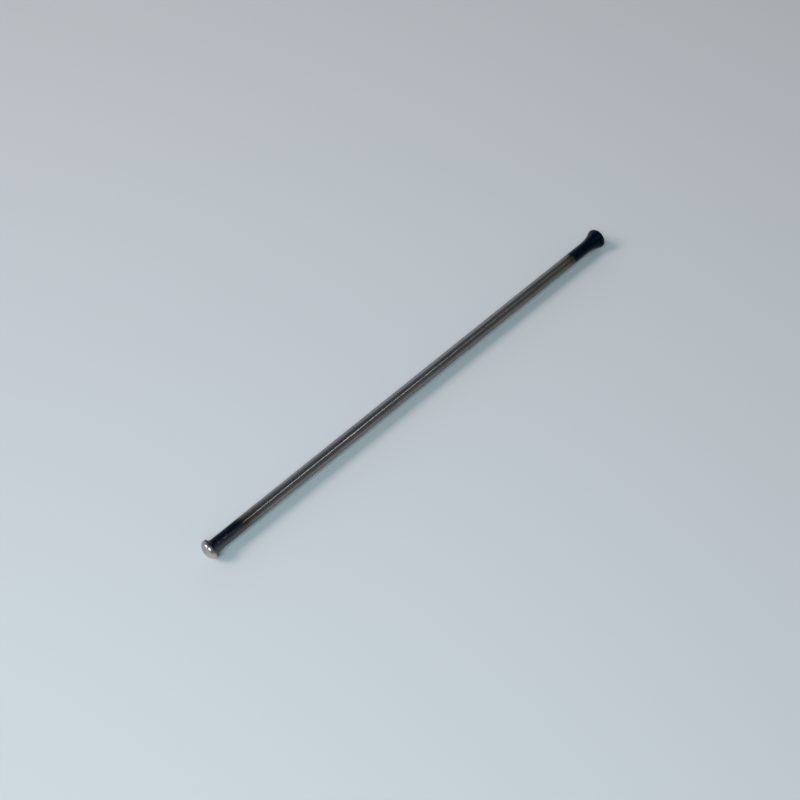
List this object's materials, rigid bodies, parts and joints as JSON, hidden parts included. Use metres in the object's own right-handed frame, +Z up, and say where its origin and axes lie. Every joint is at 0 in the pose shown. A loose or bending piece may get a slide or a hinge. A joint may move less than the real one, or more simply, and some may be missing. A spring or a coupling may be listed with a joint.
{
  "type": "engine pushrod",
  "caption": "Solid steel engine pushrod: a slim round shaft with a polished ball head at one end and a flared, blue-black cup with a spherical socket at the other.",
  "frame": {"origin": "middle of the rod's length, below its axis, on the surface that it lies on", "axes": "+X along the rod from the ball head to the cup, +Z up"},
  "size_m": [0.41, 0.0164, 0.0164],
  "materials": {
    "steel": "ground grey-brown shaft, polished ball head, blue-black hardened ends"
  },
  "bodies": {
    "root": {"pushrod": "steel"}
  },
  "joints": []
}
